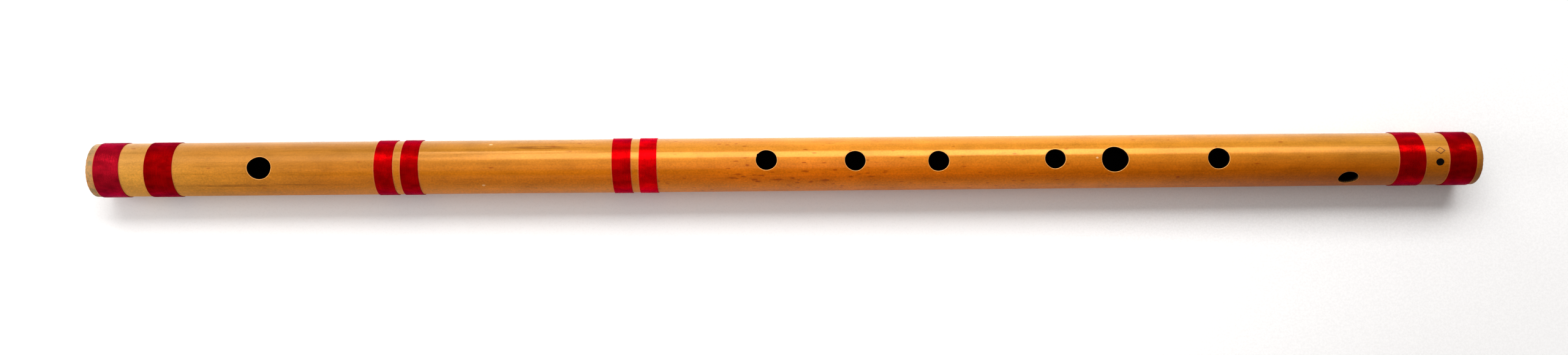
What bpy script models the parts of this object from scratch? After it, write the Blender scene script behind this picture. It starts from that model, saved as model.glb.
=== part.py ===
"""A bansuri: a side-blown bamboo flute with thread bindings and a cork stopper. Metres, +Z up.

The flute lies along X with its blowing end at -X and its blow hole facing up. It rests on its
bindings at z = 0, with the middle of its length over the origin. Distances along the flute are
measured from the blowing end.
"""

import math

import bmesh
import bpy
from mathutils import Matrix, Vector

# Where each hole is drilled, measured along the flute
BLOW_HOLE_DISTANCE = 0.0936
FINGER_HOLE_DISTANCE = 0.2754
FINGER_HOLE_SPACING = (0.0485, 0.0457, 0.0640, 0.0328, 0.0571)
TUNING_HOLE_DISTANCE = 0.0731
FOOT_DISTANCE = 0.0734

# Length along the flute and width round it of each drilled oval
BLOW_HOLE_LENGTH = 0.0129
BLOW_HOLE_WIDTH = 0.0120
FINGER_HOLE_LENGTHS = (0.0114, 0.0113, 0.0115, 0.0112, 0.0146, 0.0120)
FINGER_HOLE_WIDTHS = (0.0110, 0.0107, 0.0108, 0.0106, 0.0137, 0.0112)
TUNING_HOLE_LENGTH = 0.0110
TUNING_HOLE_WIDTH = 0.0085

# How far each hole is turned from the blow hole, in degrees towards +Y
FINGER_HOLE_TURNS = (8.2, 4.9, 2.8, 5.3, 3.3, 3.1)
TUNING_HOLE_TURN = -46.8

# The bamboo: a straight bore in a wall that is a little thicker at mid-length than at its ends
BORE_RADIUS = 0.0120
HEAD_WALL = 0.00270
MIDDLE_WALL = 0.00285
FOOT_WALL = 0.00260
RIM_BEVEL = 0.0004
BORE_BEVEL = 0.0003
TUBE_STATIONS = 8

# The cork stopper, set back from the blow hole and held by friction
STOPPER_FACE_TO_BLOW_HOLE = 0.0220
STOPPER_LENGTH = 0.0250
STOPPER_CLEARANCE = 0.0003
STOPPER_BEVEL = 0.0010

# The bindings: thread wound tightly round the bamboo in pairs
THREAD_LAYER = 0.0004
BINDING_CLEARANCE = 0.0001
BINDING_EDGE = 0.00015
HEAD_RIM_WIDTH = 0.0043
HEAD_BINDING_WIDTHS = (0.0136, 0.0150)
HEAD_BINDING_GAP = 0.0138
UPPER_BINDING_DISTANCE = 0.0622
UPPER_BINDING_WIDTHS = (0.0099, 0.0096)
UPPER_BINDING_GAP = 0.0043
MIDDLE_BINDING_DISTANCE = 0.0600
MIDDLE_BINDING_WIDTHS = (0.0101, 0.0096)
MIDDLE_BINDING_GAP = 0.0045
FOOT_RIM_WIDTH = 0.0042
FOOT_BINDING_WIDTHS = (0.0143, 0.0145)
FOOT_BINDING_GAP = 0.0135

# Number of flat sides that stand for a circle, a multiple of four
ROUND_SIDES = 48
HOLE_SIDES = 28
SHARP_ANGLE = math.radians(30)

# Colours and roughness of the pieces
BAMBOO = ("oiled_bamboo", (0.72, 0.30, 0.045), 0.30)
CORK = ("cork", (0.42, 0.24, 0.12), 0.85)
THREAD = ("red_thread", (0.42, 0.006, 0.008), 0.45)

# Places and sizes that follow from the ones above
HEAD_RADIUS = BORE_RADIUS + HEAD_WALL
MIDDLE_RADIUS = BORE_RADIUS + MIDDLE_WALL
FOOT_RADIUS = BORE_RADIUS + FOOT_WALL
FINGER_HOLES_START = BLOW_HOLE_DISTANCE + FINGER_HOLE_DISTANCE
TUNING_HOLE_PLACE = FINGER_HOLES_START + sum(FINGER_HOLE_SPACING) + TUNING_HOLE_DISTANCE
TUBE_LENGTH = TUNING_HOLE_PLACE + FOOT_DISTANCE


def outer_radius(place):
    """Radius of the bamboo's skin at a distance from the blowing end."""
    share = place / TUBE_LENGTH
    straight = HEAD_RADIUS + (FOOT_RADIUS - HEAD_RADIUS) * share
    belly = MIDDLE_RADIUS - (HEAD_RADIUS + FOOT_RADIUS) / 2
    return straight + 4 * belly * share * (1 - share)


def pair_of_bindings(pair, start, widths, gap):
    """Name, start and width of two bindings that lie side by side."""
    second_start = start + widths[0] + gap
    return (
        (f"binding_{pair}_1", start, widths[0]),
        (f"binding_{pair}_2", second_start, widths[1]),
    )


def bindings():
    """Name, start and width of every binding, from the blowing end to the foot."""
    upper_start = BLOW_HOLE_DISTANCE + UPPER_BINDING_DISTANCE
    middle_end = FINGER_HOLES_START - MIDDLE_BINDING_DISTANCE
    middle_start = middle_end - sum(MIDDLE_BINDING_WIDTHS) - MIDDLE_BINDING_GAP
    foot_end = TUBE_LENGTH - FOOT_RIM_WIDTH
    foot_start = foot_end - sum(FOOT_BINDING_WIDTHS) - FOOT_BINDING_GAP
    return (
        *pair_of_bindings("head", HEAD_RIM_WIDTH, HEAD_BINDING_WIDTHS, HEAD_BINDING_GAP),
        *pair_of_bindings("upper", upper_start, UPPER_BINDING_WIDTHS, UPPER_BINDING_GAP),
        *pair_of_bindings("middle", middle_start, MIDDLE_BINDING_WIDTHS, MIDDLE_BINDING_GAP),
        *pair_of_bindings("foot", foot_start, FOOT_BINDING_WIDTHS, FOOT_BINDING_GAP),
    )


def binding_radius(place):
    """Radius of the outside of a binding at a distance from the blowing end."""
    return outer_radius(place) + BINDING_CLEARANCE + THREAD_LAYER


def axis_height():
    """Height of the flute's axis when its stoutest binding touches z = 0."""
    edges = [start + step for _, start, width in bindings() for step in (0, width)]
    return max(binding_radius(edge) for edge in edges)


def drilled_holes():
    """Name, place, turn in degrees, length and width of every hole in the bamboo."""
    holes = [("blow_hole", BLOW_HOLE_DISTANCE, 0.0, BLOW_HOLE_LENGTH, BLOW_HOLE_WIDTH)]
    place = FINGER_HOLES_START
    fingers = zip((0.0, *FINGER_HOLE_SPACING), FINGER_HOLE_TURNS, FINGER_HOLE_LENGTHS, FINGER_HOLE_WIDTHS)
    for number, (step, turn, length, width) in enumerate(fingers, start=1):
        place += step
        holes.append((f"finger_hole_{number}", place, turn, length, width))
    tuning = (TUNING_HOLE_PLACE, TUNING_HOLE_TURN, TUNING_HOLE_LENGTH, TUNING_HOLE_WIDTH)
    holes.append(("tuning_hole", *tuning))
    return holes


def remove_everything():
    for item in list(bpy.data.objects):
        bpy.data.objects.remove(item, do_unlink=True)


def make_material(name, colour, roughness):
    material = bpy.data.materials.new(name)
    material.use_nodes = True
    shader = material.node_tree.nodes["Principled BSDF"]
    shader.inputs["Base Color"].default_value = (*colour, 1.0)
    shader.inputs["Roughness"].default_value = roughness
    shader.inputs["Metallic"].default_value = 0.0
    return material


def add_object(name, mesh, parent, place):
    """An object on the flute's axis, at a distance from the blowing end."""
    item = bpy.data.objects.new(name, mesh)
    bpy.context.scene.collection.objects.link(item)
    item.parent = parent
    item.location = (place, 0.0, 0.0)
    return item


def finish_mesh(bm, name, material):
    bmesh.ops.recalc_face_normals(bm, faces=bm.faces)
    mesh = bpy.data.meshes.new(name)
    bm.to_mesh(mesh)
    bm.free()
    mesh.materials.append(material)
    mesh.shade_smooth()
    mesh.set_sharp_from_angle(angle=SHARP_ANGLE)
    return mesh


def add_circle(bm, place, radius):
    """A ring of points whose flat sides lie at the radius, with one side facing straight down."""
    corner_radius = radius / math.cos(math.pi / ROUND_SIDES)
    points = []
    for number in range(ROUND_SIDES):
        angle = math.tau * (number + 0.5) / ROUND_SIDES
        across = corner_radius * math.sin(angle)
        up = corner_radius * math.cos(angle)
        points.append(bm.verts.new((place, across, up)))
    return points


def join_circles(bm, first, second):
    for number in range(ROUND_SIDES):
        after = (number + 1) % ROUND_SIDES
        bm.faces.new((first[number], first[after], second[after], second[number]))


def turned_sleeve(name, profile, material):
    """A hollow turned body from a closed profile of (place, radius) points."""
    bm = bmesh.new()
    circles = [add_circle(bm, place, radius) for place, radius in profile]
    for number, circle in enumerate(circles):
        join_circles(bm, circle, circles[(number + 1) % len(circles)])
    return finish_mesh(bm, name, material)


def turned_plug(name, profile, material):
    """A solid turned body from an open profile of (place, radius) points."""
    bm = bmesh.new()
    circles = [add_circle(bm, place, radius) for place, radius in profile]
    for circle, following in zip(circles, circles[1:]):
        join_circles(bm, circle, following)
    bm.faces.new(circles[0])
    bm.faces.new(circles[-1])
    return finish_mesh(bm, name, material)


def tube_profile():
    """Round the wall: along the skin from head to foot, then back along the bore."""
    skin_start = RIM_BEVEL
    skin_end = TUBE_LENGTH - RIM_BEVEL
    profile = [(0.0, HEAD_RADIUS - RIM_BEVEL)]
    for station in range(TUBE_STATIONS + 1):
        place = skin_start + (skin_end - skin_start) * station / TUBE_STATIONS
        profile.append((place, outer_radius(place)))
    profile.append((TUBE_LENGTH, FOOT_RADIUS - RIM_BEVEL))
    profile.append((TUBE_LENGTH, BORE_RADIUS + BORE_BEVEL))
    profile.append((TUBE_LENGTH - BORE_BEVEL, BORE_RADIUS))
    profile.append((BORE_BEVEL, BORE_RADIUS))
    profile.append((0.0, BORE_RADIUS + BORE_BEVEL))
    return profile


def drill_for(name, place, turn, length, width, parent):
    """An oval drill that points out from the axis and reaches past the bamboo's skin."""
    bm = bmesh.new()
    reach = 2 * MIDDLE_RADIUS
    oval = Matrix.Diagonal((length / 2, width / 2, reach, 1.0))
    lift = Matrix.Translation(Vector((0.0, 0.0, reach / 2)))
    bmesh.ops.create_cone(
        bm,
        cap_ends=True,
        segments=HOLE_SIDES,
        radius1=1.0,
        radius2=1.0,
        depth=1.0,
        matrix=lift @ oval,
    )
    mesh = bpy.data.meshes.new(f"drill_{name}")
    bm.to_mesh(mesh)
    bm.free()
    drill = add_object(f"drill_{name}", mesh, parent, place)
    drill.rotation_euler = (-math.radians(turn), 0.0, 0.0)
    drill.hide_render = True
    drill.display_type = "WIRE"
    return drill


def bamboo_tube(parent, material):
    mesh = turned_sleeve("bamboo_tube", tube_profile(), material)
    tube = add_object("bamboo_tube", mesh, parent, 0.0)
    for hole in drilled_holes():
        cut = tube.modifiers.new(hole[0], "BOOLEAN")
        cut.operation = "DIFFERENCE"
        cut.solver = "EXACT"
        cut.object = drill_for(*hole, parent)


def cork_stopper(parent, material):
    radius = BORE_RADIUS - STOPPER_CLEARANCE
    face = BLOW_HOLE_DISTANCE - STOPPER_FACE_TO_BLOW_HOLE
    half = STOPPER_LENGTH / 2
    profile = (
        (-half, radius - STOPPER_BEVEL),
        (STOPPER_BEVEL - half, radius),
        (half - STOPPER_BEVEL, radius),
        (half, radius - STOPPER_BEVEL),
    )
    mesh = turned_plug("cork_stopper", profile, material)
    add_object("cork_stopper", mesh, parent, face - half)


def thread_binding(name, start, width, parent, material):
    middle = start + width / 2
    inner_start = outer_radius(start) + BINDING_CLEARANCE
    inner_end = outer_radius(start + width) + BINDING_CLEARANCE
    outer_start = inner_start + THREAD_LAYER
    outer_end = inner_end + THREAD_LAYER
    half = width / 2
    profile = (
        (-half, inner_start),
        (-half, outer_start - BINDING_EDGE),
        (BINDING_EDGE - half, outer_start),
        (half - BINDING_EDGE, outer_end),
        (half, outer_end - BINDING_EDGE),
        (half, inner_end),
    )
    mesh = turned_sleeve(name, profile, material)
    add_object(name, mesh, parent, middle)


def build():
    remove_everything()
    bamboo = make_material(*BAMBOO)
    cork = make_material(*CORK)
    thread = make_material(*THREAD)
    axis = bpy.data.objects.new("flute_axis", None)
    bpy.context.scene.collection.objects.link(axis)
    axis.location = (-TUBE_LENGTH / 2, 0.0, axis_height())
    bamboo_tube(axis, bamboo)
    cork_stopper(axis, cork)
    for name, start, width in bindings():
        thread_binding(name, start, width, axis, thread)


build()
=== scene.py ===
"""The looks of a bamboo side-blown flute with red thread bindings, around its fixed frame."""

import math

import bmesh
import bpy
import numpy as np
from mathutils import Euler, Matrix, Vector, noise


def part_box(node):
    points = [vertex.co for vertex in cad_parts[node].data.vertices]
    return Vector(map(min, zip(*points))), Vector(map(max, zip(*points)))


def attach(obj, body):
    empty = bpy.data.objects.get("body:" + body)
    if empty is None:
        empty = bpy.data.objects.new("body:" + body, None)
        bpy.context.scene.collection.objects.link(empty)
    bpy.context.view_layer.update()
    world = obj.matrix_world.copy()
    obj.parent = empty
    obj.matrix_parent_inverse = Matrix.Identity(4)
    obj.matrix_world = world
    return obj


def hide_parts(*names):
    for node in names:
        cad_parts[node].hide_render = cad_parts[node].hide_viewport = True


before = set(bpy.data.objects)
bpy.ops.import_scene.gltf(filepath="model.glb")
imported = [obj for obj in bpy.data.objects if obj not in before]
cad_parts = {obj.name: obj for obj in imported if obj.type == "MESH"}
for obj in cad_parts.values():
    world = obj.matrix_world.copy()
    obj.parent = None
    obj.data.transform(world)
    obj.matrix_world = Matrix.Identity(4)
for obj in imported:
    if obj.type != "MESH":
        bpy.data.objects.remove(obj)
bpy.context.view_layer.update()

TO_MM = 1000

# The frame's own measures, in metres: the flute lies along X with its blowing end at -X
TUBE_LOW, TUBE_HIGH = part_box("bamboo_tube")
HEAD_X = TUBE_LOW.x
LENGTH = TUBE_HIGH.x - TUBE_LOW.x
AXIS_Z = (TUBE_LOW.z + TUBE_HIGH.z) / 2
MIDDLE_RADIUS = (TUBE_HIGH.z - TUBE_LOW.z) / 2
HEAD_RADIUS = 0.0147
FOOT_RADIUS = 0.0146
BORE_RADIUS = 0.0120

# Drilled holes: distance from the blowing end, turn in degrees towards +Y, length along, width round
HOLES = (
    (0.0936, 0.0, 0.0129, 0.0120),
    (0.3690, 8.2, 0.0114, 0.0110),
    (0.4175, 4.9, 0.0113, 0.0107),
    (0.4632, 2.8, 0.0115, 0.0108),
    (0.5272, 5.3, 0.0112, 0.0106),
    (0.5600, 3.3, 0.0146, 0.0137),
    (0.6171, 3.1, 0.0120, 0.0112),
    (0.6902, -46.8, 0.0110, 0.0085),
)
# A small chip broken out of the first finger hole's edge: where it is round the edge, its width and depth
CHIPPED_HOLE = 1
CHIP_DEGREES = 148.0
CHIP_SPREAD_DEGREES = 6.0
CHIP_DEPTH = 0.0004

# Thread bindings: how far the edges nearer the head and the foot lean round the flute, how red the
# thread is, and how polished it is, where 1 is usual
BINDINGS = (
    ("binding_head_1", 0.014, -0.011, 0.26, 0.75),
    ("binding_head_2", 0.022, 0.001, 0.21, 0.20),
    ("binding_upper_1", 0.011, -0.004, 0.31, 0.95),
    ("binding_upper_2", 0.013, -0.008, 0.27, 0.60),
    ("binding_middle_1", -0.021, -0.015, 0.37, 1.00),
    ("binding_middle_2", 0.006, -0.014, 0.54, 1.10),
    ("binding_foot_1", -0.003, -0.040, 0.30, 1.15),
    ("binding_foot_2", -0.024, -0.039, 0.22, 0.60),
)

# How fine the bamboo's mesh is
ROUND_STEPS = 144
PATCH_ROUND_STEPS = 36
PATCH_LENGTH_STEPS = 28
PATCH_MARGIN = 0.0045
PLAIN_STEP = 0.005
END_MARGIN = 0.0016
PATCH_SHARES = (0.0, 0.035, 0.085, 0.16, 0.26, 0.38, 0.52, 0.67, 0.83)
CURVE_SHARES = (0.2, 0.4, 0.6, 0.8)
WALL_STEPS = 6
END_STEPS = 5

# The bamboo's three materials, as numbers of its slots
SKIN = 0
BORE = 1
CUT = 2

# The bamboo's own unevenness, always inwards from the frame's skin
OVAL_DEPTH = 0.00007
RIPPLE_DEPTH = 0.00002

# Edges of the holes and of the cut ends, which are uneven and lean a little
HOLE_ROUNDING = 0.00035
INNER_ROUNDING = 0.00025
HOLE_WANDER = 0.00010
RIM_ROUNDING = 0.0004
RIM_CHIP = 0.00020
RIM_CHIP_SCALE = 13
HEAD_CUT_LEAN = 0.010
FOOT_CUT_LEAN = 0.018

# Marks stored on the bamboo's points: millimetres from the nearest hole's edge, which are negative down
# its wall, or one of these
ON_BORE = -9.0
FAR_FROM_HOLES = 50.0

# Thread: pitch of the turns, how far their tops and their underside stand off the skin, how deep the
# grooves are, and how far a winding goes past the frame's sleeve at each end
THREAD_PITCH = 0.00040
THREAD_RISE = 0.00043
THREAD_REST = 0.00001
THREAD_GROOVE = 0.00005
THREAD_OVERLAP = 0.00006
THREAD_ROUND_STEPS = 96
# How far single turns sink, the winding wavers along the flute, and neighbouring turns slacken together
TURN_SINK = 0.00003
TURN_WAVER = 0.00002
TURN_SLACK = 0.00002
# Depth in shares of the groove at each quarter of a turn and at a winding's two shoulders, which stand in
# from its ends by a share of the pitch
TURN_SHAPE = (1.0, 0.32, 0.0, 0.32)
SHOULDER_DROP = 0.6
SHOULDER_INSET = 0.10

# Cork: how fine its mesh is, its rounded edges, and how deep its pits are, how wide and where they start
CORK_ROUND_STEPS = 96
CORK_SIDE_STEPS = 12
CORK_FACE_SHARES = (0.08, 0.2, 0.32, 0.44, 0.56, 0.67, 0.77, 0.86)
CORK_ROUNDING = 0.0009
CORK_PIT = 0.00025
CORK_PIT_SCALES = (900.0, 2100.0)
CORK_PIT_LEVEL = 0.25

# The bamboo's colour by distance from the blowing end: on its far side, painted yellower as lit by the
# window, and on the player's side, painted redder and mostly darker as shaded
LIT_AND_SHADED_BAMBOO_COLOURS = (
    (0.006, (0.42, 0.235, 0.095), (0.53, 0.255, 0.080)),
    (0.013, (0.50, 0.235, 0.048), (0.64, 0.290, 0.038)),
    (0.060, (0.43, 0.170, 0.022), (0.53, 0.200, 0.015)),
    (0.130, (0.37, 0.140, 0.015), (0.47, 0.140, 0.005)),
    (0.230, (0.47, 0.185, 0.019), (0.54, 0.145, 0.003)),
    (0.400, (0.69, 0.250, 0.024), (0.61, 0.122, 0.001)),
    (0.560, (0.64, 0.240, 0.021), (0.52, 0.114, 0.001)),
    (0.700, (0.48, 0.195, 0.017), (0.37, 0.084, 0.0004)),
    (0.758, (0.44, 0.178, 0.018), (0.36, 0.100, 0.003)),
)
# Distances towards +Y: where the far side's painted lit colour ends and the player's side's painted shaded
# colour begins, and where each of these starts and is strongest: the painted sheen on the far edge, the
# duller handled side and the painted light on the low edge
FAR_SIDE = 0.009
NEAR_SIDE = -0.007
SHEEN_EDGE_SPAN = (0.0115, 0.0150)
HANDLED_SIDE = (-0.004, -0.010)
LOW_EDGE = (-0.0075, -0.0125)
# Distances from the blowing end: where the low edge's painted light and the flecks begin, are full, and
# fade out again
LOW_EDGE_PLACES = (0.05, 0.16, 0.52, 0.68)
FLECKED_PLACES = (0.24, 0.36, 0.44, 0.60)

# Natural marks in the skin: distance from the blowing end, turn in degrees, length and width. A mark is
# gone at the first and full at the second of these multiples of its half size
MARK_FADE = (1.75, 0.65)
DARK_FLECKS = (
    (0.3585, -2.9, 0.0018, 0.0009),
    (0.3533, -22.5, 0.0034, 0.0009),
    (0.3563, -28.2, 0.0024, 0.0007),
    (0.3504, -31.3, 0.0030, 0.0009),
    (0.3626, -35.6, 0.0026, 0.0010),
    (0.3644, -40.3, 0.0030, 0.0009),
    (0.3658, -25.9, 0.0036, 0.0006),
    (0.3753, -36.1, 0.0048, 0.0009),
    (0.3831, -32.6, 0.0022, 0.0009),
    (0.3901, -17.1, 0.0032, 0.0009),
    (0.3895, 1.4, 0.0024, 0.0006),
    (0.4064, -14.9, 0.0018, 0.0009),
    (0.4013, -38.9, 0.0042, 0.0009),
    (0.3933, -42.9, 0.0020, 0.0009),
    (0.4151, -30.3, 0.0016, 0.0009),
    (0.4263, -30.4, 0.0026, 0.0007),
    (0.4150, 25.8, 0.0012, 0.0010),
    (0.6161, 26.3, 0.0012, 0.0012),
    (0.5951, -39.1, 0.0016, 0.0013),
)
SOFT_STREAKS = (
    (0.2467, 42.0, 0.0420, 0.0018),
    (0.0860, -39.0, 0.0840, 0.0013),
    (0.4039, 48.1, 0.0044, 0.0005),
)
PALE_SPECKS = (
    (0.2181, 53.5, 0.0016, 0.0010),
    (0.2144, -44.8, 0.0014, 0.0009),
    (0.5501, 6.6, 0.0010, 0.0008),
)

# Two plain ink marks between the foot bindings: a filled dot and an open diamond
INK_DOT = (0.7393, -9.2, 0.0044, 0.0041)
INK_DIAMOND = (0.7397, 16.1, 0.0050, 0.0038)
INK_LINE = 0.0004

# Colours laid over the bamboo's own: the painted sheen on its far edge and painted light on its low edge,
# its natural marks, the dirt at the blowing end and the darker band at the foot end, painted red light
# thrown from the thread beside it, and ink
SHEEN_EDGE_COLOUR = (0.90, 0.58, 0.30)
LOW_EDGE_LIGHT_COLOUR = (0.76, 0.25, 0.010)
STREAK_COLOUR = (0.20, 0.055, 0.004)
FLECK_COLOUR = (0.27, 0.030, 0.0005)
SPECK_COLOUR = (0.90, 0.62, 0.30)
GRIME_COLOUR = (0.20, 0.17, 0.085)
FOOT_RIM_COLOUR = (0.22, 0.095, 0.028)
THREAD_GLOW_COLOUR = (0.62, 0.20, 0.055)
DOT_COLOUR = (0.003, 0.002, 0.002)
LINE_COLOUR = (0.10, 0.025, 0.006)

# Colours of a hole's scorched surroundings, its bare rounded edge, whose paleness is partly a painted
# highlight, the charred start of its wall, partly painted shade, and the wall itself, then of the bore from
# its ends inwards, whose black deeper in is painted shade, and of the cut ends
SCORCHED_COLOUR = (0.30, 0.085, 0.006)
BARE_AND_HIGHLIT_EDGE_COLOUR = (0.80, 0.36, 0.09)
CHARRED_AND_SHADED_COLOUR = (0.010, 0.004, 0.001)
WALL_COLOUR = (0.17, 0.085, 0.030)
BORE_BROWNS = ((0.3, (0.06, 0.030, 0.012)), (0.75, (0.13, 0.070, 0.030)))
BORE_SHADE_BLACK = (0.0020, 0.0012, 0.0006)
END_WOOD_COLOUR = (0.52, 0.34, 0.15)
END_FIBRE_COLOUR = (0.18, 0.09, 0.035)

# The thread's hue on the first binding, cooler as a painted reflection of the white room, and, past it, on
# all others, and where the one turns into the other
HEAD_THREAD_REFLECTION_HUE = (1.0, 0.010, 0.038)
THREAD_HUE = (1.0, 0.0012, 0.0030)
HUE_CHANGE = (0.028, 0.022)

# The cork and its pores
CORK_COLOURS = ((0.3, (0.30, 0.16, 0.07)), (0.55, (0.50, 0.30, 0.15)), (0.8, (0.58, 0.38, 0.21)))
PORE_COLOUR = (0.07, 0.03, 0.012)

# Past these distances from the blowing end only the tuning hole is left, whose wall is browner and whose
# pale edge, bare wood and painted highlight, is fainter than the other holes'
TUNING_HOLE_START = (0.66, 0.68)

# The camera over the flute, from the photograph's own perspective, and the nearest distance it shows
CAMERA_LENS = 30.63
CAMERA_SENSOR = 36.0
CAMERA_X = -0.0141
CAMERA_HEIGHT = 0.7422
CAMERA_TURN = 2.0
CAMERA_TILT = (-0.557, -0.856, -0.502)
CAMERA_NEAREST = 0.01

# Lamps that face the flute from its far side: a long window, its dimmer part past the blowing end, one
# brighter pane in it, a low window beside the head, and a white ceiling. Place along X, degrees from
# straight up towards +Y, distance from the flute's axis, size along and across, and power
FAR_LAMPS = (
    ("key_window", 0.27, 42.5, 1.2, (1.42, 0.54), 15.9),
    ("head_window", -0.72, 42.5, 1.2, (0.50, 0.54), 2.3),
    ("bright_pane", 0.37, 43.0, 1.2, (0.26, 0.44), 1.1),
    ("low_window", -0.42, 63.0, 1.2, (0.30, 0.22), 1.2),
    ("ceiling", -0.70, 13.0, 1.3, (1.8, 1.5), 7.2),
)
# Fills from the blowing end and from the player's side: where they stand, their size and power
FILL_LAMPS = (
    ("head_fill", (-1.1, 0.0, 0.5), (0.6, 0.6), 4.0),
    ("front_fill", (-0.85, -1.1, 0.75), (1.4, 1.2), 3.8),
)

# The room's own light, and a white backdrop all round that fades out between these heights over the
# horizon, where 1 is straight up
ROOM_COLOUR = (1.0, 0.84, 0.76)
ROOM_STRENGTH = 0.13
BACKDROP_TOP = (0.04, 0.16)

# The paper: its size, how white it looks, how white by the foot and from which share of the flute's length
# on it darkens as painted shade, its grain, and how white it is for the light that it throws on the flute
FLOOR_SIZE = 8.0
FLOOR_SHOWN = 1.0
FLOOR_SHADE_AT_FOOT = 0.90
FLOOR_SHADE_STARTS = 0.65
PAPER_GRAIN = 0.03
FLOOR_LIGHTING = 0.80
# Half axes of an oval round the flute's middle, and the multiples of it between which the paper turns
# into plain white
FLOOR_KEPT = (0.44, 0.17)
FLOOR_FADE = (1.0, 1.7)


def outer_radius(place):
    """Nominal radius of the skin at a distance from the blowing end."""
    share = place / LENGTH
    belly = MIDDLE_RADIUS - (HEAD_RADIUS + FOOT_RADIUS) / 2
    return HEAD_RADIUS + (FOOT_RADIUS - HEAD_RADIUS) * share + 4 * belly * share * (1 - share)


def skin_radius(place, turn):
    """Radius of the real skin: the nominal one less a slight oval, which turns along it, and ripples."""
    drift = 1.3 + 2.2 * np.sin(place * 9.0 + 0.5)
    oval = 0.5 + 0.5 * np.cos(2 * turn + drift)
    ripple = 0.5 + 0.5 * np.sin(place * 61.0 + 3 * turn) * np.cos(place * 37.0 - 2 * turn)
    return outer_radius(place) - OVAL_DEPTH * oval - RIPPLE_DEPTH * ripple


def bore_radius(place, turn):
    """Radius of the bore, the same at every place because the stopper slides in it."""
    return np.full(np.broadcast(place, turn).shape, BORE_RADIUS)


def to_world(place, turn, radius):
    """World points from distance along the flute, turn from straight up towards +Y, and radius."""
    place, turn, radius = np.broadcast_arrays(place, turn, radius)
    across = radius * np.sin(turn)
    up = AXIS_Z + radius * np.cos(turn)
    return np.stack([HEAD_X + place, across, up], axis=-1)


def binding_span(node):
    """Where a binding starts and ends, as distances from the blowing end."""
    low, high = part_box(node)
    return low.x - HEAD_X, high.x - HEAD_X


def placed(name, data):
    """A new object in the scene."""
    item = bpy.data.objects.new(name, data)
    bpy.context.scene.collection.objects.link(item)
    return item


class Shell:
    """Collects the points and faces of one mesh, with a value at each point for its material."""

    def __init__(self):
        self.points = []
        self.values = []
        self.faces = []
        self.slots = []

    def add(self, points, value=0.0):
        """Adds an array of points and returns their numbers in the same layout."""
        points = np.asarray(points, float)
        flat = points.reshape(-1, 3)
        first = len(self.points)
        self.points.extend(map(tuple, flat))
        self.values.extend(np.broadcast_to(value, points.shape[:-1]).reshape(-1))
        return np.arange(first, first + len(flat)).reshape(points.shape[:-1])

    def strip(self, one, other, slot=0):
        """Faces between two closed rows of points."""
        for k in range(len(one)):
            after = (k + 1) % len(one)
            self.faces.append((one[k], one[after], other[after], other[k]))
            self.slots.append(slot)

    def fan(self, row, centre, slot=0):
        """Faces from a closed row of points to one point in its middle."""
        for k in range(len(row)):
            self.faces.append((row[k], row[(k + 1) % len(row)], centre))
            self.slots.append(slot)

    def build(self, name, value_name, materials):
        """The finished object, its faces turned outwards and its points' values stored under a name."""
        mesh = bpy.data.meshes.new(name)
        mesh.from_pydata(self.points, [], [tuple(int(i) for i in face) for face in self.faces])
        attribute = mesh.attributes.new(value_name, "FLOAT", "POINT")
        attribute.data.foreach_set("value", np.asarray(self.values, np.float32))
        for material in materials:
            mesh.materials.append(material)
        mesh.polygons.foreach_set("material_index", self.slots)
        bm = bmesh.new()
        bm.from_mesh(mesh)
        bmesh.ops.recalc_face_normals(bm, faces=bm.faces)
        bm.to_mesh(mesh)
        bm.free()
        mesh.shade_smooth()
        return placed(name, mesh)


def stations():
    """Places of the bamboo's rings, and the first and last ring of each hole's patch."""
    places = [END_MARGIN]
    patches = []
    for centre, _, length, _ in HOLES:
        half = length / 2 + PATCH_MARGIN
        steps = max(1, round((centre - half - places[-1]) / PLAIN_STEP))
        places.extend(np.linspace(places[-1], centre - half, steps + 1)[1:])
        first = len(places) - 1
        places.extend(np.linspace(centre - half, centre + half, PATCH_LENGTH_STEPS + 1)[1:])
        patches.append((first, len(places) - 1))
    final = LENGTH - END_MARGIN
    steps = round((final - places[-1]) / PLAIN_STEP)
    places.extend(np.linspace(places[-1], final, steps + 1)[1:])
    return np.array(places), patches


def patch_loop(first, last, start):
    """(ring, step) pairs round the edge of a hole's patch."""
    end = start + PATCH_ROUND_STEPS
    loop = [(first, step) for step in range(start, end)]
    loop += [(ring, end) for ring in range(first, last)]
    loop += [(last, step) for step in range(end, start, -1)]
    loop += [(ring, start) for ring in range(last, first, -1)]
    return loop


def hand_drift(angle, number):
    """How far a hand-made hole's edge strays from a true oval: waves whose phases differ by hole."""
    lobes = np.sin(2 * angle + 1.7 * number) + 0.8 * np.sin(3 * angle + 2.9 * number)
    drift = HOLE_WANDER * (lobes + 0.5 * np.sin(5 * angle + 4.1 * number)) / 2
    if number == CHIPPED_HOLE:
        away = (angle - math.radians(CHIP_DEGREES)) / math.radians(CHIP_SPREAD_DEGREES)
        drift = drift + CHIP_DEPTH * np.exp(-away * away)
    return drift


def bend(start, corner, end):
    """Rows of points on the curve that rounds a corner off."""
    return [(1 - t) ** 2 * start + 2 * t * (1 - t) * corner + t * t * end for t in CURVE_SHARES]


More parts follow.
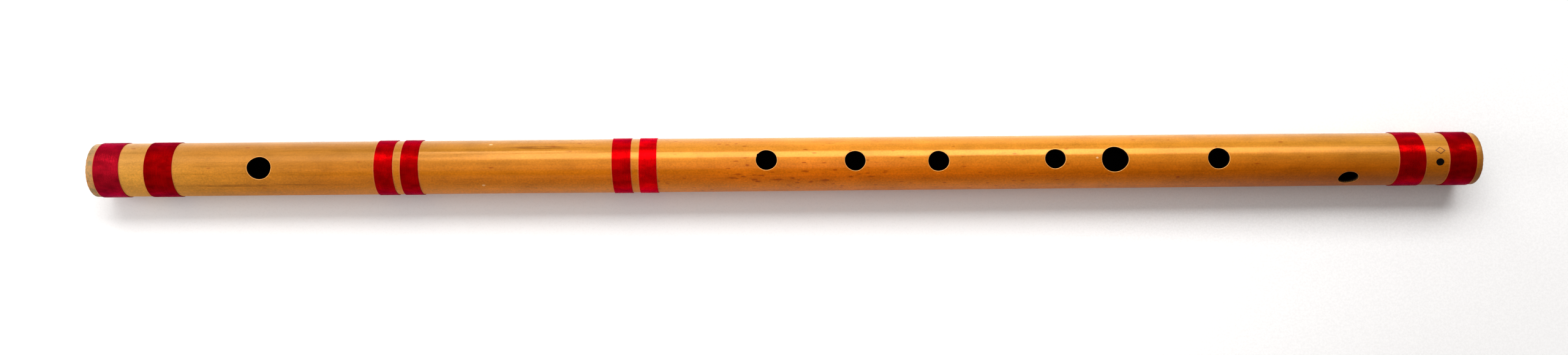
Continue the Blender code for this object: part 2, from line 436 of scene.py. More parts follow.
def hole_wall(shell, turn, oval, skin_row, bore_row):
    """One hole's rounded edge, straight wall and inner edge, between its rows on the skin and bore."""
    inward = np.array([0.0, -math.sin(turn), -math.cos(turn)])
    skin_corner = to_world(*oval(0.0, skin_radius))
    bore_corner = to_world(*oval(0.0, bore_radius))
    wall_top = skin_corner + HOLE_ROUNDING * inward
    wall_foot = bore_corner - INNER_ROUNDING * inward
    skin_start = to_world(*oval(HOLE_ROUNDING, skin_radius))
    bore_end = to_world(*oval(INNER_ROUNDING, bore_radius))
    rows = [skin_row]
    for share, points in zip(CURVE_SHARES, bend(skin_start, skin_corner, wall_top)):
        rows.append(shell.add(points, HOLE_ROUNDING * TO_MM * (1 - 2 * share)))
    for step in range(WALL_STEPS + 1):
        share = step / WALL_STEPS
        points = wall_top + share * (wall_foot - wall_top)
        depth = HOLE_ROUNDING + share * np.linalg.norm(wall_foot - wall_top, axis=1)
        rows.append(shell.add(points, -depth * TO_MM))
    for points in bend(wall_foot, bore_corner, bore_end):
        rows.append(shell.add(points, ON_BORE))
    rows.append(bore_row)
    wall_start = 1 + len(CURVE_SHARES)
    for row, (one, other) in enumerate(zip(rows, rows[1:])):
        shell.strip(one, other, SKIN if row < wall_start else BORE)


def drilled_patch(shell, number, loop, places, skin, bore):
    """Fills one hole's patch: the skin round it, its wall and the bore round it."""
    centre, degrees, length, width = HOLES[number]
    turn = math.radians(degrees)
    step_angle = math.tau / ROUND_STEPS
    edge_places = np.array([places[ring] for ring, _ in loop])
    edge_turns = np.array([step * step_angle for _, step in loop])
    half_length = length / 2 + PATCH_MARGIN
    half_turn = PATCH_ROUND_STEPS / 2 * step_angle
    angle = np.arctan2((edge_turns - turn) / half_turn, (edge_places - centre) / half_length)
    drift = hand_drift(angle, number)

    def oval(offset, radius_at):
        """Place, turn and radius of the hole's oval, widened by an offset, on one of the surfaces."""
        along = centre + (length / 2 + drift + offset) * np.cos(angle)
        across = (width / 2 + drift + offset) * np.sin(angle)
        around = turn + np.arcsin(across / radius_at(along, turn))
        return along, around, radius_at(along, around)

    def surface_rows(offset, radius_at, boundary):
        """Rows on a surface from the widened oval out to the patch's edge."""
        along, around, _ = oval(offset, radius_at)
        rows = []
        for share in PATCH_SHARES:
            row_place = along + share * (edge_places - along)
            row_turn = around + share * (edge_turns - around)
            away = share * np.hypot(edge_places - along, (edge_turns - around) * MIDDLE_RADIUS)
            points = to_world(row_place, row_turn, radius_at(row_place, row_turn))
            value = (offset + away) * TO_MM if radius_at is skin_radius else ON_BORE
            rows.append(shell.add(points, value))
        rows.append(np.array(boundary))
        return rows

    skin_rows = surface_rows(HOLE_ROUNDING, skin_radius, [skin[pair] for pair in loop])
    bore_rows = surface_rows(INNER_ROUNDING, bore_radius, [bore[pair] for pair in loop])
    for rows, slot in ((skin_rows, SKIN), (bore_rows, BORE)):
        for one, other in zip(rows, rows[1:]):
            shell.strip(one, other, slot)
    hole_wall(shell, turn, oval, skin_rows[0], bore_rows[0])


def rim_chips(place, turns):
    """How deep the rim is chipped round a cut end. The place makes the two ends differ."""
    chips = []
    for turn in turns:
        round_rim = RIM_CHIP_SCALE * math.cos(turn), RIM_CHIP_SCALE * math.sin(turn)
        chips.append(noise.noise(Vector((*round_rim, place * 9))))
    chips = np.array(chips)
    return RIM_CHIP * (0.5 + 0.5 * chips / max(abs(chips)))


def cut_end(shell, skin_row, bore_row, place, outwards, lean):
    """Rounded rims and the leaning cut between the skin and the bore. outwards is -1 at the head."""
    turns = np.arange(ROUND_STEPS) * math.tau / ROUND_STEPS
    chips = rim_chips(place, turns)
    end = place - outwards * (chips + lean * MIDDLE_RADIUS * (1 + np.sin(turns)))
    back = end - outwards * RIM_ROUNDING
    skin_edge = to_world(back, turns, skin_radius(back, turns))
    corner = to_world(end, turns, skin_radius(end, turns))
    flat_top = to_world(end, turns, skin_radius(end, turns) - RIM_ROUNDING)
    flat_foot = to_world(end, turns, BORE_RADIUS + INNER_ROUNDING)
    inner_corner = to_world(end, turns, BORE_RADIUS)
    bore_edge = to_world(back, turns, BORE_RADIUS)
    rows = [skin_row, shell.add(skin_edge, FAR_FROM_HOLES)]
    rows += [shell.add(points, FAR_FROM_HOLES) for points in bend(skin_edge, corner, flat_top)]
    grain_start = len(rows) - 2
    for step in range(END_STEPS + 1):
        share = step / END_STEPS
        rows.append(shell.add(flat_top + share * (flat_foot - flat_top), FAR_FROM_HOLES))
    rows += [shell.add(points, FAR_FROM_HOLES) for points in bend(flat_foot, inner_corner, bore_edge)]
    rows += [shell.add(bore_edge, ON_BORE), bore_row]
    for number, (one, other) in enumerate(zip(rows, rows[1:])):
        shell.strip(one, other, SKIN if number < grain_start else CUT)


def left_to_patches(patches):
    """First step of each hole's patch, the points inside the patches and the faces they cover."""
    starts = []
    inside = set()
    covered = set()
    for (_, degrees, _, _), (first, last) in zip(HOLES, patches):
        start = round(degrees / 360 * ROUND_STEPS) - PATCH_ROUND_STEPS // 2
        starts.append(start)
        for ring in range(first, last):
            for step in range(start, start + PATCH_ROUND_STEPS):
                covered.add((ring, step % ROUND_STEPS))
                if ring > first and step > start:
                    inside.add((ring, step % ROUND_STEPS))
    return starts, inside, covered


def surface_points(shell, places, inside, radius_at, value):
    """Points of the skin or the bore outside the holes' patches, by ring and step."""
    turns = np.arange(ROUND_STEPS) * math.tau / ROUND_STEPS
    numbers = {}
    for ring, place in enumerate(places):
        kept = [step for step in range(ROUND_STEPS) if (ring, step) not in inside]
        row = shell.add(to_world(place, turns[kept], radius_at(place, turns[kept])), value)
        numbers.update({(ring, step): row[k] for k, step in enumerate(kept)})
    return numbers


def surface_faces(shell, numbers, ring_count, covered, slot):
    """Faces of the skin or the bore between the holes' patches."""
    for ring in range(ring_count - 1):
        for step in range(ROUND_STEPS):
            if (ring, step) in covered:
                continue
            after = (step + 1) % ROUND_STEPS
            corners = ((ring, step), (ring, after), (ring + 1, after), (ring + 1, step))
            shell.faces.append(tuple(numbers[corner] for corner in corners))
            shell.slots.append(slot)


def bamboo_tube(materials):
    """The drilled and cut bamboo: an open shell with skin, bore, hole walls and end faces."""
    shell = Shell()
    places, patches = stations()
    starts, inside, covered = left_to_patches(patches)
    surfaces = (
        surface_points(shell, places, inside, skin_radius, FAR_FROM_HOLES),
        surface_points(shell, places, inside, bore_radius, ON_BORE),
    )
    for slot, numbers in zip((SKIN, BORE), surfaces):
        surface_faces(shell, numbers, len(places), covered, slot)
    for number, ((first, last), start) in enumerate(zip(patches, starts)):
        loop = patch_loop(first, last, start)
        edges = [{pair: numbers[(pair[0], pair[1] % ROUND_STEPS)] for pair in loop} for numbers in surfaces]
        drilled_patch(shell, number, loop, places, *edges)
    for ring, place, outwards, lean in (
        (0, 0.0, -1, HEAD_CUT_LEAN),
        (len(places) - 1, LENGTH, 1, FOOT_CUT_LEAN),
    ):
        rows = [[numbers[(ring, step)] for step in range(ROUND_STEPS)] for numbers in surfaces]
        cut_end(shell, *rows, place, outwards, lean)
    return shell.build("bamboo", "edge_mm", materials)


def thread_binding(node, lean_low, lean_high, material, number):
    """Turns of thread laid side by side round the bamboo, over the frame's sleeve."""
    start, end = binding_span(node)
    start -= THREAD_OVERLAP
    end += THREAD_OVERLAP
    turn_count = round((end - start) / THREAD_PITCH)
    pitch = (end - start) / turn_count
    turns = np.arange(THREAD_ROUND_STEPS) * math.tau / THREAD_ROUND_STEPS
    across = MIDDLE_RADIUS * np.sin(turns)
    chance = np.random.default_rng(number)
    tints = chance.uniform(0.0, 1.0, turn_count)
    lifts = chance.uniform(-1.0, 0.0, turn_count) * TURN_SINK
    phases = chance.uniform(0.0, math.tau, 2)
    shoulder = THREAD_RISE - SHOULDER_DROP * THREAD_GROOVE
    inset = SHOULDER_INSET * pitch
    shell = Shell()
    rows = []

    def ring(place, height, tint):
        """One ring of points that leans as its binding does at that place."""
        lean = lean_low + (lean_high - lean_low) * (place - start) / (end - start)
        leaning = place + lean * across + TURN_WAVER * np.sin(3 * turns + phases[0])
        radius = skin_radius(leaning, turns) + height
        rows.append(shell.add(to_world(leaning, turns, radius), tint))

    ring(start + inset, THREAD_REST, tints[0])
    ring(start, 0.5 * THREAD_RISE, tints[0])
    ring(start + inset, shoulder, tints[0])
    for turn in range(turn_count):
        slack = TURN_SLACK * abs(math.sin(0.9 * turn + phases[1]))
        for quarter, drop in enumerate(TURN_SHAPE):
            if turn == 0 and quarter == 0:
                continue
            place = start + pitch * (turn + quarter / len(TURN_SHAPE))
            ring(place, THREAD_RISE - THREAD_GROOVE * drop + lifts[turn] - slack, tints[turn])
    ring(end - inset, shoulder, tints[-1])
    ring(end, 0.5 * THREAD_RISE, tints[-1])
    ring(end - inset, THREAD_REST, tints[-1])
    for one, other in zip(rows, [*rows[1:], rows[0]]):
        shell.strip(one, other)
    return shell.build(node.replace("binding", "thread"), "tint", [material])


def cork_profile(length, radius):
    """(place, radius) pairs from the middle of one face over the side to the middle of the other."""
    face = [(0.0, radius * share) for share in CORK_FACE_SHARES]
    face += [(0.0, radius - CORK_ROUNDING), (0.3 * CORK_ROUNDING, radius - 0.3 * CORK_ROUNDING)]
    side = [(place, radius) for place in np.linspace(CORK_ROUNDING, length / 2, CORK_SIDE_STEPS)]
    half = face + side
    return half + [(length - place, r) for place, r in reversed(half[:-1])]


def pit_depth(point):
    """How deep a point of the cork's surface is pitted."""
    coarse, fine = CORK_PIT_SCALES
    pit = noise.noise(Vector(point) * coarse) + 0.5 * noise.noise(Vector(point) * fine)
    return max(0.0, pit - CORK_PIT_LEVEL) * CORK_PIT


def cork_piece(material):
    """A turned cork with small pits in its faces and side."""
    low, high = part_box("cork_stopper")
    radius = (high.z - low.z) / 2
    turns = np.arange(CORK_ROUND_STEPS) * math.tau / CORK_ROUND_STEPS
    centre = np.array([(low.x + high.x) / 2, 0.0, AXIS_Z])
    shell = Shell()
    rows = []
    for place, r in cork_profile(high.x - low.x, radius):
        points = to_world(low.x - HEAD_X + place, turns, r)
        for k, point in enumerate(points):
            points[k] = point + (centre - point) * pit_depth(point) / radius
        rows.append(shell.add(points))
    for one, other in zip(rows, rows[1:]):
        shell.strip(one, other)
    shell.fan(rows[0], int(shell.add([[low.x, 0.0, AXIS_Z]])[0]))
    shell.fan(rows[-1], int(shell.add([[high.x, 0.0, AXIS_Z]])[0]))
    return shell.build("cork", "tint", [material])


class Finish:
    """A material under construction, with short words for its nodes."""

    def __init__(self, name, roughness=0.5):
        self.material = bpy.data.materials.new(name)
        self.material.use_nodes = True
        self.tree = self.material.node_tree
        self.shader = self.tree.nodes["Principled BSDF"]
        self.set("Roughness", roughness)
        where = self.node("ShaderNodeTexCoord").outputs["Object"]
        self.position = self.vector("ADD", where, (-HEAD_X, 0.0, -AXIS_Z))

    def node(self, kind, **settings):
        """A new node with its settings."""
        made = self.tree.nodes.new(kind)
        for key, value in settings.items():
            setattr(made, key, value)
        return made

    def put(self, socket, value):
        """Links a socket to another, or writes a plain value on it."""
        if isinstance(value, bpy.types.NodeSocket):
            self.tree.links.new(value, socket)
        elif socket.type == "RGBA" and len(value) == 3:
            socket.default_value = (*value, 1.0)
        else:
            socket.default_value = value

    def set(self, name, value):
        """Gives one of the shader's own inputs a value or a link."""
        self.put(self.shader.inputs[name], value)

    def value(self, name):
        """A value stored on the mesh's points."""
        return self.node("ShaderNodeAttribute", attribute_name=name).outputs["Fac"]

    def axes(self):
        """Distance from the blowing end, distance towards +Y and height over the axis."""
        split = self.node("ShaderNodeSeparateXYZ")
        self.put(split.inputs[0], self.position)
        return split.outputs

    def unrolled(self):
        """The skin laid flat: distance from the blowing end and distance round from the top."""
        place, across, up = self.axes()
        around = self.times(self.math("ARCTAN2", across, up), MIDDLE_RADIUS)
        joined = self.node("ShaderNodeCombineXYZ")
        self.put(joined.inputs[0], place)
        self.put(joined.inputs[1], around)
        return joined.outputs[0]

    def math(self, operation, *values):
        """The result of a calculation with plain numbers."""
        made = self.node("ShaderNodeMath", operation=operation)
        for socket, value in zip(made.inputs, values):
            self.put(socket, value)
        return made.outputs[0]

    def times(self, first, second):
        """Two values multiplied."""
        return self.math("MULTIPLY", first, second)

    def plus(self, first, second):
        """Two values added."""
        return self.math("ADD", first, second)

    def vector(self, operation, *values):
        """The result of a calculation with vectors."""
        made = self.node("ShaderNodeVectorMath", operation=operation)
        for socket, value in zip(made.inputs, values):
            self.put(socket, value)
        return made.outputs["Value" if operation == "LENGTH" else "Vector"]

    def remap(self, value, low, high, new_low=0.0, new_high=1.0, smooth=True):
        """A value moved from one range to another, held at both ends."""
        made = self.node("ShaderNodeMapRange", interpolation_type="SMOOTHSTEP" if smooth else "LINEAR")
        for socket, number in zip(made.inputs, (value, low, high, new_low, new_high)):
            self.put(socket, number)
        return made.outputs[0]

    def between(self, value, start, full, still_full, gone):
        """1 between two values, fading to 0 on either side."""
        return self.times(self.remap(value, start, full), self.remap(value, gone, still_full))

    def noise(self, scale, detail=3.0, roughness=0.6):
        """Even noise, stretched along the axes where the scale is smaller."""
        made = self.node("ShaderNodeTexNoise")
        self.put(made.inputs["Vector"], self.vector("MULTIPLY", self.position, scale))
        for name, number in (("Scale", 1.0), ("Detail", detail), ("Roughness", roughness)):
            self.put(made.inputs[name], number)
        return made.outputs["Fac"]

    def cells(self, where, scale):
        """Distance from the nearest scattered point, and a chance value of its own."""
        made = self.node("ShaderNodeTexVoronoi")
        self.put(made.inputs["Vector"], self.vector("MULTIPLY", where, scale))
        self.put(made.inputs["Scale"], 1.0)
        chance = self.node("ShaderNodeSeparateColor")
        self.put(chance.inputs[0], made.outputs["Color"])
        return made.outputs["Distance"], chance.outputs[0]

    def ramp(self, value, stops, stepped=False):
        """Colours along a value, blended or in steps."""
        made = self.node("ShaderNodeValToRGB")
        made.color_ramp.interpolation = "CONSTANT" if stepped else "LINEAR"
        self.put(made.inputs[0], value)
        elements = made.color_ramp.elements
        while len(elements) < len(stops):
            elements.new(0.5)
        for element, (place, colour) in zip(elements, stops):
            element.position = place
            element.color = (*colour, 1.0)
        return made.outputs[0]

    def grey(self, value):
        """A value as a grey colour, which may be brighter than white."""
        made = self.node("ShaderNodeCombineColor")
        for socket in made.inputs[:3]:
            self.put(socket, value)
        return made.outputs[0]

    def mix(self, share, first, second, blend="MIX"):
        """Two colours mixed by a share of the second, or blended in another way."""
        made = self.node("ShaderNodeMix", data_type="RGBA", blend_type=blend)
        self.put(made.inputs[0], share)
        self.put(made.inputs[6], first)
        self.put(made.inputs[7], second)
        return made.outputs[2]

    def bump(self, height, distance, strength):
        """Fine relief from a pattern."""
        made = self.node("ShaderNodeBump")
        self.put(made.inputs["Height"], height)
        self.put(made.inputs["Distance"], distance)
        self.put(made.inputs["Strength"], strength)
        self.set("Normal", made.outputs[0])

    def away_from(self, flat, mark):
        """Vector from a mark's middle on the unrolled skin, in halves of its length and width."""
        place, degrees, length, width = mark
        away = self.vector("SUBTRACT", flat, (place, math.radians(degrees) * MIDDLE_RADIUS, 0.0))
        return self.vector("MULTIPLY", away, (2 / length, 2 / width, 0.0))

    def marks(self, flat, rows, ragged=0.0):
        """1 inside the oval marks of a list, fading at their edges, which may be ragged."""
        total = 0.0
        for mark in rows:
            away = self.plus(self.vector("LENGTH", self.away_from(flat, mark)), ragged)
            total = self.math("MAXIMUM", total, self.remap(away, *MARK_FADE))
        return total

    def ragged(self):
        """How far a natural mark's edge strays at each place, in shares of its size."""
        pattern = self.noise((600.0, 1700.0, 1700.0))
        return self.remap(pattern, 0.30, 0.70, -0.45, 0.45, smooth=False)


def bamboo_colour(finish, place, across):
    """Colour along and round the flute, with painted light and shade: yellower on the lit far side, redder
    on the shaded player's side, a painted sheen at the far edge and painted light low on the player's side.
    """
    share = finish.math("DIVIDE", place, LENGTH)
    far_stops = [(where / LENGTH, far) for where, far, _ in LIT_AND_SHADED_BAMBOO_COLOURS]
    near_stops = [(where / LENGTH, near) for where, _, near in LIT_AND_SHADED_BAMBOO_COLOURS]
    # Painted light and shade: the lit far side yellower, the shaded player's side redder and mostly darker
    side = finish.remap(across, FAR_SIDE, NEAR_SIDE)
    colour = finish.mix(side, finish.ramp(share, far_stops), finish.ramp(share, near_stops))
    # Painted sheen: a pale colour along the far edge stands in for the lit paper's reflection
    edge_sheen = finish.remap(across, *SHEEN_EDGE_SPAN, 0.0, 0.22)
    colour = finish.mix(edge_sheen, colour, SHEEN_EDGE_COLOUR)
    # Painted light: a paler band low on the player's side stands in for light thrown up from the paper
    low = finish.remap(across, *LOW_EDGE, 0.0, 0.4)
    low = finish.times(finish.between(place, *LOW_EDGE_PLACES), low)
    return finish.mix(low, colour, LOW_EDGE_LIGHT_COLOUR)


def bamboo_tone(finish, across, fibres, streaks):
    """How light or dark each place is: fine fibres, long streaks, mottling and soft clouds."""
    mottle = finish.noise((950.0, 1100.0, 1100.0))
    clouds = finish.noise((60.0, 130.0, 130.0), 3.0, 0.55)
    tone = finish.remap(fibres, 0.25, 0.75, 0.95, 1.05, smooth=False)
    grain = finish.remap(mottle, 0.25, 0.75, -1.0, 1.0, smooth=False)
    grain = finish.times(grain, finish.remap(across, FAR_SIDE, NEAR_SIDE, 0.13, 0.24))
    tone = finish.plus(tone, grain)
    for pattern, reach in ((streaks, 0.09), (clouds, 0.14)):
        tone = finish.plus(tone, finish.remap(pattern, 0.25, 0.75, -reach, reach, smooth=False))
    return finish.grey(tone)


def fleck_shares(finish, flat, place, across):
    """Ragged brown dashes: the listed ones, and scattered ones that are densest in the middle, low down."""
    ragged = finish.ragged()
    listed = finish.marks(flat, DARK_FLECKS, ragged)
    distance, chance = finish.cells(flat, (210.0, 720.0, 1.0))
    middle = finish.between(place, *FLECKED_PLACES)
    lower = finish.remap(across, 0.004, -0.006, 0.25, 1.0)
    density = finish.math("MULTIPLY_ADD", finish.times(middle, lower), 0.19, 0.02)
    distance = finish.math("MULTIPLY_ADD", ragged, 0.12, distance)
    scattered = finish.remap(distance, 0.40, 0.14)
    scattered = finish.times(scattered, finish.math("LESS_THAN", chance, density))
    return finish.math("MAXIMUM", listed, finish.times(scattered, 0.85))


def beside_bindings(finish, place, across):
    """Distance to the nearest binding's edge, negative under its thread."""
    nearest = 1.0
    for node, lean_low, lean_high, _, _ in BINDINGS:
        low, high = binding_span(node)
        moved = finish.math("MULTIPLY_ADD", across, -(lean_low + lean_high) / 2, place)
        off_middle = finish.math("ABSOLUTE", finish.math("SUBTRACT", moved, (low + high) / 2))
        half = finish.math("MULTIPLY_ADD", across, (lean_high - lean_low) / 2, (high - low) / 2)
        nearest = finish.math("MINIMUM", nearest, finish.math("SUBTRACT", off_middle, half))
    return nearest


def ink_shares(finish, flat):
    """1 where the ink dot is, and 1 where the diamond's line is."""
    dot = finish.remap(finish.vector("LENGTH", finish.away_from(flat, INK_DOT)), 1.05, 0.97)
    sides = finish.vector("ABSOLUTE", finish.away_from(flat, INK_DIAMOND))
    split = finish.node("ShaderNodeSeparateXYZ")
    finish.put(split.inputs[0], sides)
    outline = finish.plus(split.outputs[0], split.outputs[1])
    off_line = finish.math("ABSOLUTE", finish.math("SUBTRACT", outline, 1.0))
    reach = 2 * INK_LINE / INK_DIAMOND[3]
    return dot, finish.remap(off_line, reach, 0.6 * reach)


def natural_marks(finish, colour, flat, place, across):
    """The skin with its soft dark streaks, brown flecks and pale specks."""
    broken = finish.remap(finish.noise((70.0, 900.0, 900.0)), 0.40, 0.60, 0.15, 0.70)
    soft = finish.times(finish.marks(flat, SOFT_STREAKS), broken)
    colour = finish.mix(soft, colour, STREAK_COLOUR)
    flecks = finish.times(fleck_shares(finish, flat, place, across), 0.70)
    colour = finish.mix(flecks, colour, FLECK_COLOUR)
    specks = finish.times(finish.marks(flat, PALE_SPECKS), 0.6)
    return finish.mix(specks, colour, SPECK_COLOUR)


def marks_ink_and_thread_glow(finish, colour, flat, place, across):
    """The skin with dirt by the blowing end, a darker band at the foot end, painted red light thrown from
    the thread beside it, and ink.
    """
    grime = finish.remap(finish.noise((330.0, 210.0, 210.0)), 0.47, 0.60, 0.0, 0.6)
    grime = finish.times(grime, finish.remap(place, 0.0050, 0.0040))
    colour = finish.mix(grime, colour, GRIME_COLOUR)
    # Darker towards the foot's cut end
    foot_end_dark = finish.remap(place, LENGTH - 0.0032, LENGTH - 0.0014, 0.0, 0.6)
    colour = finish.mix(foot_end_dark, colour, FOOT_RIM_COLOUR)
    # Painted light: a red-orange line beside each binding stands in for red light thrown from the thread
    # onto the bamboo
    thread_glow = finish.remap(beside_bindings(finish, place, across), 0.0010, 0.0002)
    colour = finish.mix(finish.times(thread_glow, 0.5), colour, THREAD_GLOW_COLOUR)
    dot, line = ink_shares(finish, flat)
    colour = finish.mix(dot, colour, DOT_COLOUR)
    return finish.mix(finish.times(line, 0.9), colour, LINE_COLOUR)


def hole_edges(finish, colour, place, edge, charred_and_shaded):
    """The skin with scorched surroundings, pale edges that are bare wood and a painted highlight, and
    charred walls darkened further as painted shade, at its holes.
    """
    scorched = finish.remap(edge, 1.4, 0.4, 0.0, 0.10)
    colour = finish.mix(scorched, colour, SCORCHED_COLOUR)
    # Bare wood and painted highlight: a pale ring on each hole's rounded edge
    bare_and_highlit = finish.remap(edge, 0.40, 0.24)
    bare_and_highlit = finish.times(bare_and_highlit, finish.remap(place, *TUNING_HOLE_START, 1.0, 0.35))
    colour = finish.mix(bare_and_highlit, colour, BARE_AND_HIGHLIT_EDGE_COLOUR)
    return finish.mix(charred_and_shaded, colour, CHARRED_AND_SHADED_COLOUR)


def skin_roughness(finish, place, across, fibres, streaks):
    """Glossy in the middle, duller towards both ends and where hands have worn the player's side."""
    uneven = finish.remap(streaks, 0.3, 0.7, -0.05, 0.06, smooth=False)
    uneven = finish.plus(uneven, finish.remap(fibres, 0.3, 0.7, -0.04, 0.04, smooth=False))
    head = finish.remap(place, 0.22, 0.05, 0.150, 0.32)
    foot = finish.remap(place, 0.56, 0.72, 0.0, 0.09)
    handled = finish.remap(across, *HANDLED_SIDE, 0.0, 0.30)
    return finish.plus(finish.plus(head, foot), finish.plus(handled, uneven))


def oiled_bamboo():
    """Honey-gold skin with fibres, natural marks, marks of use and burned holes."""
    finish = Finish("oiled_bamboo")
    finish.set("IOR", 1.48)
    finish.set("Metallic", 0.14)
    finish.set("Specular IOR Level", 0.20)
    finish.set("Specular Tint", (1.0, 1.0, 0.75))
    place, across, _ = finish.axes()
    flat = finish.unrolled()
    edge = finish.value("edge_mm")
    # Charring and painted shade: the rounded edge darkens as it turns into each hole
    charred_and_shaded = finish.remap(edge, 0.02, -0.22)
    fibres = finish.noise((60.0, 2600.0, 2600.0))
    streaks = finish.noise((9.0, 420.0, 420.0), 3.0, 0.55)
    tone = bamboo_tone(finish, across, fibres, streaks)
    colour = finish.mix(1.0, bamboo_colour(finish, place, across), tone, "MULTIPLY")
    colour = natural_marks(finish, colour, flat, place, across)
    colour = marks_ink_and_thread_glow(finish, colour, flat, place, across)
    finish.set("Base Color", hole_edges(finish, colour, place, edge, charred_and_shaded))
    rough = skin_roughness(finish, place, across, fibres, streaks)
    finish.set("Roughness", finish.math("MULTIPLY_ADD", charred_and_shaded, 0.5, rough))
    finish.bump(fibres, 0.000012, 0.6)
    return finish.material


def dark_bore():
    """The inside, browned near the ends and black deeper in as painted shade, and the burned walls of the
    holes, which at the finger holes stay mostly that black.
    """
    finish = Finish("dark_bore", 0.8)
    finish.set("Specular IOR Level", 0.05)
    place, _, _ = finish.axes()
    streaks = finish.noise((12.0, 500.0, 500.0))
    depth = finish.math("MINIMUM", place, finish.math("SUBTRACT", LENGTH, place))
    # Painted shade: the bore turns black deeper in, where little light reaches
    colour = finish.mix(finish.remap(depth, 0.002, 0.040), finish.ramp(streaks, BORE_BROWNS), BORE_SHADE_BLACK)
    wall = finish.remap(finish.value("edge_mm"), -1.5, -0.4)
    wall = finish.times(wall, finish.remap(place, *TUNING_HOLE_START, 0.12, 1.0))
    burned = finish.remap(finish.noise((1500.0, 1500.0, 1500.0)), 0.40, 0.62, 0.25, 1.0)
    colour = finish.mix(finish.times(wall, burned), colour, WALL_COLOUR)
    finish.set("Base Color", colour)
    finish.bump(streaks, 0.00004, 0.6)
    return finish.material


def end_grain():
    """Cut ends: pale wood with darker fibre ends."""
    finish = Finish("end_grain", 0.65)
    distance, _ = finish.cells(finish.position, (300.0, 2300.0, 2300.0))
    dots = finish.remap(distance, 0.42, 0.15)
    colour = finish.mix(finish.times(dots, 0.6), END_WOOD_COLOUR, END_FIBRE_COLOUR)
    finish.set("Base Color", colour)
    finish.bump(dots, 0.00005, 0.5)
    return finish.material


def red_thread():
    """Satin thread wound round the flute, with a cooler hue at the head as a painted reflection, uneven in
    tone and polish.
    """
    finish = Finish("red_thread")
    finish.set("Metallic", 0.5)
    finish.set("Specular IOR Level", 0.0)
    finish.set("Specular Tint", (1.0, 0.45, 0.65))
    place, _, _ = finish.axes()
    # Each binding's own red and polish, as two channels of a stepped ramp that changes just before it
    stops = []
    for node, _, _, red, polish in BINDINGS:
        stops.append((binding_span(node)[0] / LENGTH - 0.004, (red, polish, 0.0)))
    own = finish.node("ShaderNodeSeparateColor")
    finish.put(own.inputs[0], finish.ramp(finish.math("DIVIDE", place, LENGTH), stops, stepped=True))
    red, polish = own.outputs[:2]
    patches = finish.noise((110.0, 210.0, 210.0))
    wear = finish.noise((1100.0, 240.0, 240.0), 2.0, 0.5)
    tone = finish.remap(patches, 0.3, 0.7, 1.28, 0.74)
    tone = finish.plus(tone, finish.remap(wear, 0.3, 0.7, -0.05, 0.05, smooth=False))
    tone = finish.plus(tone, finish.math("MULTIPLY_ADD", finish.value("tint"), 0.06, -0.03))
    tone = finish.grey(finish.times(tone, red))
    # Painted reflection: the head binding's bluer hue stands in for white reflected at the slanted view
    hue = finish.mix(finish.remap(place, *HUE_CHANGE), THREAD_HUE, HEAD_THREAD_REFLECTION_HUE)
    finish.set("Base Color", finish.mix(1.0, hue, tone, "MULTIPLY"))
    rough = finish.math("MULTIPLY_ADD", polish, -0.22, 0.50)
    for pattern, reach in ((patches, 0.09), (wear, 0.03)):
        rough = finish.plus(rough, finish.remap(pattern, 0.3, 0.7, -reach, reach))
    finish.set("Roughness", rough)
    finish.bump(finish.noise((1800.0, 3200.0, 3200.0), 2.0), 0.00001, 0.4)
    return finish.material


def natural_cork():
    """Matt brown cork with small dark pores."""
    finish = Finish("natural_cork", 0.85)
    grain = finish.noise((420.0, 420.0, 420.0), 4.0)
    colour = finish.ramp(grain, CORK_COLOURS)
    distance, chance = finish.cells(finish.position, (500.0, 700.0, 700.0))
    pore = finish.times(finish.remap(distance, 0.3, 0.15), finish.math("LESS_THAN", chance, 0.3))
    finish.set("Base Color", finish.mix(pore, colour, PORE_COLOUR))
    finish.bump(grain, 0.00015, 0.7)
    return finish.material


def show_rays(tree):
    """1 for what the camera, gloss and glass see, 0 for what only lights the flute."""
    rays = tree.nodes.new("ShaderNodeLightPath")
    total = rays.outputs["Is Camera Ray"]
    for name in ("Is Glossy Ray", "Is Transmission Ray"):
        most = tree.nodes.new("ShaderNodeMath")
        most.operation = "MAXIMUM"
        tree.links.new(total, most.inputs[0])
        tree.links.new(rays.outputs[name], most.inputs[1])
        total = most.outputs[0]
    return total


def white_paper():
    """Paper with painted shade making it a little darker by the foot, which keeps the flute's shadow and
    turns plain white far off.
    """
    finish = Finish("white_paper", 0.9)
    tooth = finish.noise((900.0, 900.0, 900.0))
    place, _, _ = finish.axes()
    # Painted shade: the paper darkens towards the foot
    paper_and_shade = finish.remap(place, LENGTH * FLOOR_SHADE_STARTS, LENGTH, FLOOR_SHOWN, FLOOR_SHADE_AT_FOOT)
    grain = finish.remap(tooth, 0.3, 0.7, -PAPER_GRAIN, PAPER_GRAIN)
    shown = finish.grey(finish.plus(paper_and_shade, grain))
    rays = show_rays(finish.tree)
    away = finish.vector("SUBTRACT", finish.position, (LENGTH / 2, 0.0, -AXIS_Z))
    away = finish.vector("MULTIPLY", away, (1 / FLOOR_KEPT[0], 1 / FLOOR_KEPT[1], 0.0))
    far = finish.times(finish.remap(finish.vector("LENGTH", away), *FLOOR_FADE), rays)
    colour = finish.mix(rays, finish.grey(FLOOR_LIGHTING), shown)
    finish.set("Base Color", finish.mix(far, colour, (0.0, 0.0, 0.0)))
    finish.set("Emission Color", (1.0, 1.0, 1.0))
    finish.set("Emission Strength", far)
    finish.set("Specular IOR Level", 0.1)
    finish.bump(tooth, 0.00006, 0.3)
    return finish.material


def floor():
    """The sheet of paper under the flute, which belongs to the studio."""
    mesh = bpy.data.meshes.new("floor")
    bm = bmesh.new()
    bmesh.ops.create_grid(bm, x_segments=8, y_segments=8, size=FLOOR_SIZE / 2)
    bm.to_mesh(mesh)
    bm.free()
    mesh.materials.append(white_paper())
    placed("floor", mesh)


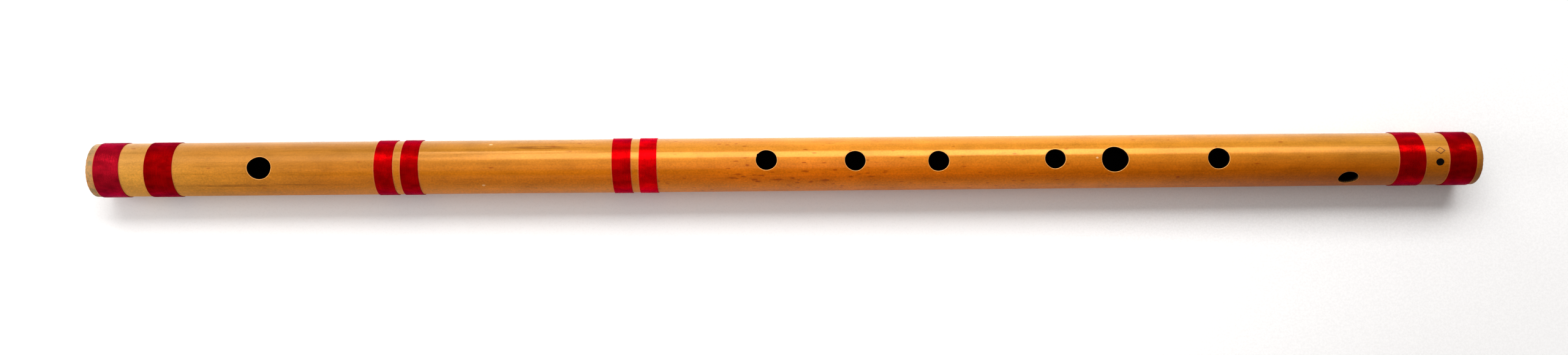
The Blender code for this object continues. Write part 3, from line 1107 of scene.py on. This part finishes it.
def area_light(name, place, target, size, power):
    """A rectangular lamp that faces a target."""
    light = bpy.data.lights.new(name, "AREA")
    light.shape = "RECTANGLE"
    light.size, light.size_y = size
    light.energy = power
    lamp = placed(name, light)
    lamp.location = place
    lamp.rotation_mode = "QUATERNION"
    lamp.rotation_quaternion = (Vector(target) - Vector(place)).to_track_quat("-Z", "Y")


def lamps():
    """The window, the ceiling and the fills, all facing the flute."""
    for name, x, degrees, distance, size, power in FAR_LAMPS:
        tilt = math.radians(degrees)
        place = (x, distance * math.sin(tilt), AXIS_Z + distance * math.cos(tilt))
        area_light(name, place, (x, 0.0, AXIS_Z), size, power)
    for name, place, size, power in FILL_LAMPS:
        area_light(name, place, (0.0, 0.0, AXIS_Z), size, power)


def room():
    """The room's own light, with a white backdrop all round that fades out just over the horizon."""
    world = bpy.data.worlds.new("room")
    bpy.context.scene.world = world
    world.use_nodes = True
    tree = world.node_tree
    sky = tree.nodes["Background"]
    shown = tree.nodes.new("ShaderNodeMix")
    shown.data_type = "RGBA"
    shown.inputs[6].default_value = (*[ROOM_STRENGTH * part for part in ROOM_COLOUR], 1.0)
    shown.inputs[7].default_value = (1.0, 1.0, 1.0, 1.0)
    heading = tree.nodes.new("ShaderNodeTexCoord")
    split = tree.nodes.new("ShaderNodeSeparateXYZ")
    tree.links.new(heading.outputs["Generated"], split.inputs[0])
    backdrop = tree.nodes.new("ShaderNodeMapRange")
    tree.links.new(split.outputs[2], backdrop.inputs[0])
    for socket, number in zip(list(backdrop.inputs)[1:5], (*BACKDROP_TOP, 1.0, 0.0)):
        socket.default_value = number
    share = tree.nodes.new("ShaderNodeMath")
    share.operation = "MULTIPLY"
    tree.links.new(show_rays(tree), share.inputs[0])
    tree.links.new(backdrop.outputs[0], share.inputs[1])
    tree.links.new(share.outputs[0], shown.inputs[0])
    tree.links.new(shown.outputs[2], sky.inputs["Color"])


def camera():
    """Almost straight over the flute, at the photograph's own distance, tilt and lens."""
    data = bpy.data.cameras.new("camera")
    data.lens = CAMERA_LENS
    data.sensor_width = CAMERA_SENSOR
    data.clip_start = CAMERA_NEAREST
    item = placed("camera", data)
    bpy.context.scene.camera = item
    swing = Matrix.Rotation(math.radians(CAMERA_TURN), 4, "X")
    tilt = Euler([math.radians(angle) for angle in CAMERA_TILT], "XYZ").to_matrix().to_4x4()
    over = Matrix.Translation(Vector((CAMERA_X, 0.0, AXIS_Z)))
    lift = Matrix.Translation(Vector((0.0, 0.0, CAMERA_HEIGHT)))
    item.matrix_world = over @ swing @ lift @ tilt


def dress():
    """Builds every visible piece and puts it on its body."""
    tube = bamboo_tube([oiled_bamboo(), dark_bore(), end_grain()])
    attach(tube, "flute")
    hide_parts("bamboo_tube")
    thread = red_thread()
    for number, (node, lean_low, lean_high, _, _) in enumerate(BINDINGS):
        winding = thread_binding(node, lean_low, lean_high, thread, number)
        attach(winding, "flute")
        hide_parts(node)
    cork = cork_piece(natural_cork())
    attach(cork, "stopper")
    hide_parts("cork_stopper")


camera()
lamps()
room()
floor()
dress()
bpy.context.scene.view_settings.view_transform = "Standard"
